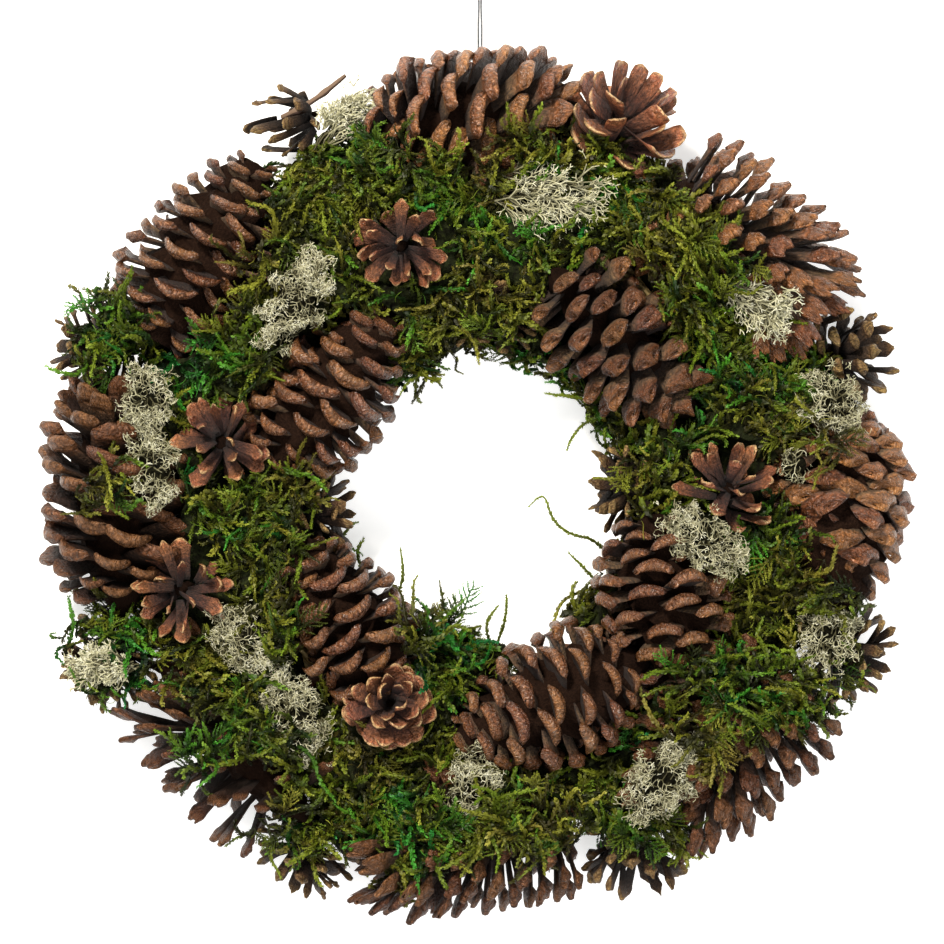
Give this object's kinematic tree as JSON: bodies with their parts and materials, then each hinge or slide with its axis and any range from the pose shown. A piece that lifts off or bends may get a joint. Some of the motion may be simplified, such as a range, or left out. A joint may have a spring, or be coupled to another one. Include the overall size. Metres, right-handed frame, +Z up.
{
  "type": "pine cone and moss wreath",
  "caption": "Round wreath of open pine cones bedded in green moss and pale lichen on a flat-backed straw ring, with a loop of thin line to hang it by",
  "frame": {"origin": "centre of the wreath's outline in the plane of its flat straw back, on the surface that it lies on", "axes": "+Z up out of the front of the wreath, +Y toward the hanging loop at the top, +X to the right as seen from the front"},
  "size_m": [0.3596, 0.397, 0.0855],
  "materials": {
    "straw": "matte",
    "large_cone_scale": "satin",
    "small_cone_scale": "matte",
    "twig_bark": "matte",
    "lichen": "matte",
    "moss": "matte",
    "hanging_wire": "satin"
  },
  "bodies": {
    "root": {"straw_ring": "straw", "outer_cone_upper_left": "large_cone_scale", "outer_cone_top": "large_cone_scale", "outer_cone_upper_right": "large_cone_scale", "outer_cone_right": "large_cone_scale", "outer_cone_lower_right": "large_cone_scale", "outer_cone_bottom": "large_cone_scale", "outer_cone_lower_left": "large_cone_scale", "outer_cone_left": "large_cone_scale", "inner_cone_upper_right": "large_cone_scale", "inner_cone_right": "large_cone_scale", "inner_cone_bottom": "large_cone_scale", "inner_cone_lower_left": "large_cone_scale", "inner_cone_upper_left": "large_cone_scale", "edge_cone_right_upper": "small_cone_scale", "edge_cone_top_right": "small_cone_scale", "edge_cone_top_left": "small_cone_scale", "edge_cone_left_upper": "small_cone_scale", "edge_cone_left_lower": "small_cone_scale", "edge_cone_bottom_left": "small_cone_scale", "edge_cone_bottom_right": "small_cone_scale", "edge_cone_right_lower": "small_cone_scale", "rim_cone_top": "small_cone_scale", "rim_cone_right": "small_cone_scale", "rim_cone_left": "small_cone_scale", "rosette_cone_top": "small_cone_scale", "rosette_cone_left": "small_cone_scale", "rosette_cone_lower_left": "small_cone_scale", "rosette_cone_bottom": "small_cone_scale", "rosette_cone_right": "small_cone_scale", "cone_twig": "twig_bark", "lichen_tuft_01": "lichen", "lichen_tuft_02": "lichen", "lichen_tuft_03": "lichen", "lichen_tuft_04": "lichen", "lichen_tuft_05": "lichen", "lichen_tuft_06": "lichen", "lichen_tuft_07": "lichen", "lichen_tuft_08": "lichen", "lichen_tuft_09": "lichen", "lichen_tuft_10": "lichen", "lichen_tuft_11": "lichen", "lichen_tuft_12": "lichen", "lichen_tuft_13": "lichen", "lichen_tuft_14": "lichen", "lichen_tuft_15": "lichen", "moss_clump_01": "moss", "moss_clump_02": "moss", "moss_clump_03": "moss", "moss_clump_04": "moss", "moss_clump_05": "moss", "moss_clump_06": "moss", "moss_clump_07": "moss", "moss_clump_08": "moss", "moss_clump_09": "moss", "moss_clump_10": "moss", "moss_clump_11": "moss", "moss_clump_12": "moss", "hanger_line": "hanging_wire"}
  },
  "joints": []
}
